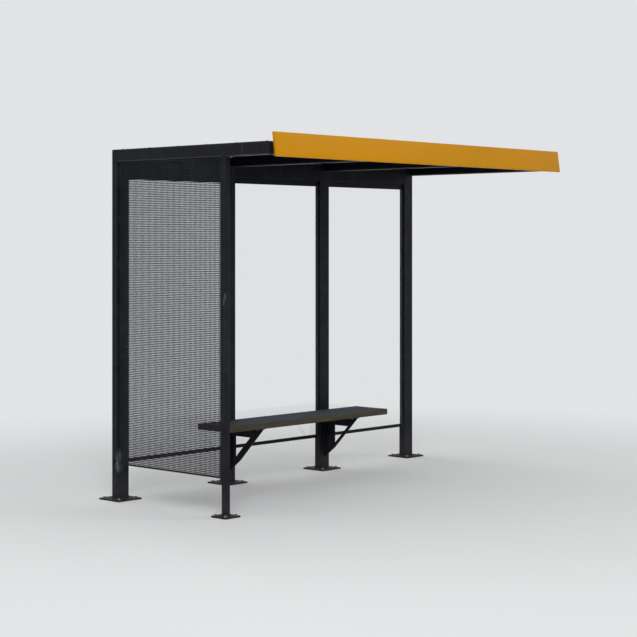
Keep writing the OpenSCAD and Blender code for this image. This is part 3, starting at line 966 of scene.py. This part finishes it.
runs = []
for name, joint in (("side_frame_rear", 1), ("side_frame_front", 0)):
    low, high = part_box(name)
    y = ends_of(name, Y)[joint]
    for z in spread_between(low.z + STITCH_END, high.z - STITCH_END - STITCH, STITCH_STEP):
        runs += [[(x, y, z), (x, y, z + STITCH)] for x in (low.x, high.x)]
weld("side_wall_welds", "post_paint", runs, radius=0.0024)

low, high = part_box("rafter_left")
seam = [(low.x, SEAM_Y, low.z + TUBE_ROUND), (low.x, SEAM_Y, high.z - TUBE_ROUND)]
weld("roof_tube_seam", "roof_paint", [seam], radius=0.003, finish="seam_paint")

# %% [markdown]
# ## Rounded edges on the formed pieces
# Folded and cut steel never has a razor edge, and it is the small round that catches the light.
# The fascia and the brackets come in with sharp edges, so each gets a copy that is merged,
# cleaned of its inner triangle edges and beveled, and the copy stands for the solid.

# %% Bevel the fascia and the brackets
SHARP, FLAT = math.radians(25), math.radians(0.5)
SAME_PLACE = 0.00002
FOLD, CUT = (0.0012, 3), (0.001, 2)  # a radius and its segments


def bevel(bm, edges, radius, segments, clamp=False):
    bmesh.ops.bevel(bm, geom=edges, offset=radius, segments=segments, profile=0.5, affect="EDGES",
                    clamp_overlap=clamp)


def rounded_copy(node, rounding):
    bm = bmesh.new()
    bm.from_mesh(nodes[node].data)
    bmesh.ops.remove_doubles(bm, verts=bm.verts, dist=SAME_PLACE)
    bmesh.ops.dissolve_limit(bm, angle_limit=FLAT, verts=bm.verts, edges=bm.edges)
    sharp_edges = [e for e in bm.edges if len(e.link_faces) == 2 and e.calc_face_angle(0.0) > SHARP]
    bevel(bm, sharp_edges, *rounding, clamp=True)
    return mesh_piece(node + "_rounded", bm, slot_of[node])


keep(rounded_copy("fascia", FOLD), "fascia_paint", "fascia")
for name in BRACKETS:
    keep(rounded_copy(name, CUT), "bracket_paint", name)

# %% [markdown]
# ## The bench board
# A plank that has been outside for years is no longer a clean box: its edges are rounded by
# hands and coats, its top is slightly hollow, and its long edges wander by a fraction of a
# millimetre. The board is a fine grid box whose corners are rounded, and whose points are then
# moved by smooth noise, always inwards.

# %% Bench board
BOARD_EDGE = (0.0045, 3)
LENGTH_CUTS, WIDTH_CUTS = 56, 10
EDGE_WANDER, HOLLOW, UNEVEN = 0.0006, 0.0010, 0.0004


def box_mesh(low, high):
    bm = bmesh.new()
    bmesh.ops.create_cube(bm, size=1.0)
    for vertex in bm.verts:
        vertex.co = Vector((low[i] + (vertex.co[i] + 0.5) * (high[i] - low[i]) for i in range(3)))
    return bm


bm = box_mesh(bench_low, bench_high)
bevel(bm, list(bm.edges), *BOARD_EDGE)
for axis, count in ((X, LENGTH_CUTS), (Y, WIDTH_CUTS)):
    for cut in range(1, count):
        place = bench_low.copy()
        place[axis] = bench_low[axis] + (bench_high[axis] - bench_low[axis]) * cut / count
        bmesh.ops.bisect_plane(bm, geom=bm.verts[:] + bm.edges[:] + bm.faces[:], plane_co=place,
                               plane_no=ALONG[axis])
board_middle = middle("bench_board")
for vertex in bm.verts:
    side = (vertex.co.y - board_middle.y) / (bench_high.y - bench_low.y) * 2
    wander = noise.noise(Vector((vertex.co.x * 3.1, side, 4.0)))
    vertex.co.y -= math.copysign(EDGE_WANDER, side) * (0.5 + 0.5 * wander) * abs(side)
    if vertex.co.z > board_middle.z:
        dip = noise.noise(Vector((vertex.co.x * 4.0, vertex.co.y * 14.0, 9.0)))
        vertex.co.z -= HOLLOW * (1 - side * side) + UNEVEN * (0.5 + 0.5 * dip)
keep(mesh_piece("bench_plank", bm, "bench_wood"), "bench_wood", "bench_board", smooth_angle=40.0)

# %% [markdown]
# ## Small things on the frame
# Low on the outer side of the first rear post is a black blind plug, pressed into a drilled hole.
# The top of the front post laps over the outer face of the roof tube as a thin tab, welded round
# its edge, and the post's other sides are welded to the tube from below. One bare tack was left
# at the inner corner.

# %% Blind plug
PLUG_Y, PLUG_Z = 0.674, 0.2585
PLUG = [(0, 9), (0.9, 8.7), (1.4, 7.6), (1.2, 6.2), (0.4, 5.6)]

bm = bmesh.new()
loft(bm, PLUG)
bm.transform(Matrix.Translation((outer_face, PLUG_Y, PLUG_Z)) @ Matrix.Rotation(-math.pi / 2, 4, "Y"))
keep(mesh_piece("blind_plug", bm, "plug_rubber"), "post_paint")

# %% Lap tab
TAB_RISE, TAB_FALL, TAB_THICK, TAB_IN = 0.024, 0.006, 0.0028, 0.0004
TAB_CORNER, TAB_RIM = (0.006, 4), (0.0008, 2)

low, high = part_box("front_post")
tab_low = Vector((low.x - TAB_THICK, low.y, high.z - TAB_FALL))
tab_high = Vector((low.x + TAB_IN, high.y, high.z + TAB_RISE))
bm = box_mesh(tab_low, tab_high)
upper_corners = [e for e in bm.edges if all(v.co.z > high.z for v in e.verts)
                 and abs(e.verts[0].co.x - e.verts[1].co.x) > TAB_THICK / 2]
bevel(bm, upper_corners, *TAB_CORNER)
bevel(bm, [e for e in bm.edges if all(abs(v.co.x - tab_low.x) < SAME_PLACE for v in e.verts)], *TAB_RIM)
keep(mesh_piece("front_post_tab", bm, "post_paint"), "post_paint")

# %% Welds of the front post's top
TAB_WELD_START, TAB_WELD_CORNER = 0.002, 0.004
TACK_BACK, TACK_ON, TACK_OUT, TACK_DOWN = 0.003, 0.010, 0.003, 0.001

start, top, cut = high.z + TAB_WELD_START, tab_high.z, TAB_WELD_CORNER
outline = [(low.y, start), (low.y, top - cut), (low.y + cut, top),
           (high.y - cut, top), (high.y, top - cut), (high.y, start)]
weld("front_post_tab_weld", "post_paint", [[(low.x, y, z) for y, z in outline]], radius=0.0022)
top_path = [(low.x + FEET[-1][3], low.y, high.z), (high.x, low.y, high.z), (high.x, high.y, high.z)]
weld("front_post_top_weld", "post_paint", [top_path], radius=0.0026)
tack_path = [(x, low.y - TACK_OUT, high.z - TACK_DOWN) for x in (high.x - TACK_BACK, high.x + TACK_ON)]
weld("front_post_tack", "post_paint", [tack_path], radius=0.0062, finish="bare_weld")

# %% [markdown]
# ## Floor and surround
# A plain pale floor and a pale surround keep the eye on the shelter. The surround gives an even
# light, and camera, reflection and glass rays see it at one pale value, which is never turned up
# to light the shelter. With distance the floor turns into that same value, so no horizon cuts
# through the picture, and the shadow at the feet stays.

# %% Floor and surround
SURROUND_LIGHT = 0.62
SURROUND_SEEN = (0.76, 0.77, 0.78, 1.0)
WHITE = (1.0, 1.0, 1.0, 1.0)
FLOOR_DARK, FLOOR_PALE = (0.765, 0.772, 0.780), (0.795, 0.801, 0.807)
FLOOR_HALF, FLOOR_DOWN = 60.0, 0.0005
FADE_FROM, FADE_TO = 2.4, 6.0


def seen_directly(tree):
    """1 for rays that reach the camera straight, by reflection or through glass, 0 for light."""
    rays = put("ShaderNodeLightPath", tree=tree).outputs
    seen = calc("MAXIMUM", rays["Is Camera Ray"], rays["Is Glossy Ray"])
    return calc("MAXIMUM", seen, rays["Is Transmission Ray"])


bm = bmesh.new()
bmesh.ops.create_grid(bm, x_segments=1, y_segments=1, size=FLOOR_HALF)
bm.transform(Matrix.Translation((0.0, 0.0, -FLOOR_DOWN)))
shader, position = mottled("pale_floor", (0.7, 3.0), FLOOR_DARK, FLOOR_PALE, (0.8, 0.9),
                           Specular_IOR_Level=0.1)
tree = shader.id_data
far = ramp(vector_calc("LENGTH", position), FADE_FROM, FADE_TO)
pale = result("ShaderNodeEmission", {"Color": SURROUND_SEEN, "Strength": 1.0}, tree=tree)
blend = {0: product(far, seen_directly(tree)), 1: shader.outputs[0], 2: pale}
feed(tree.nodes["Material Output"], Surface=result("ShaderNodeMixShader", blend))
floor = mesh_piece("floor", bm, "pale_floor")

world = bpy.data.worlds.new("studio")
bpy.context.scene.world = world
world.use_nodes = True
tree = world.node_tree
tree.nodes.clear()
soft = result("ShaderNodeBackground", {"Color": WHITE, "Strength": SURROUND_LIGHT}, tree=tree)
pale = result("ShaderNodeBackground", {"Color": SURROUND_SEEN, "Strength": 1.0}, tree=tree)
sky = result("ShaderNodeMixShader", {0: seen_directly(tree), 1: soft, 2: pale})
put("ShaderNodeOutputWorld", {"Surface": sky})
print("floor fades out between", FADE_FROM, "and", FADE_TO, "metres")

# %% [markdown]
# Three large square lamps give the soft light: the strongest at the front left, one at the front
# right and a weak one behind. They hang so high that a level camera sees none of them past the
# roof or through the glass.

# %% Lamps
LAMP_SIDE = 4.5
LAMP_AIM = Vector((0.0, 0.0, 1.1))
LAMPS = {
    "key_lamp": ((-8.0, -6.5, 6.6), 428.0),
    "fill_lamp": ((6.5, -8.5, 7.0), 195.0),
    "rear_lamp": ((1.0, 8.5, 6.6), 130.0),
}
for name, (place, watts) in LAMPS.items():
    lamp = bpy.data.lights.new(name, "AREA")
    lamp.shape, lamp.size, lamp.energy = "SQUARE", LAMP_SIDE, watts
    holder = add_object(name, lamp)
    holder.location = place
    holder.rotation_euler = (LAMP_AIM - Vector(place)).to_track_quat("-Z", "Y").to_euler()
    print(name, watts, "W")
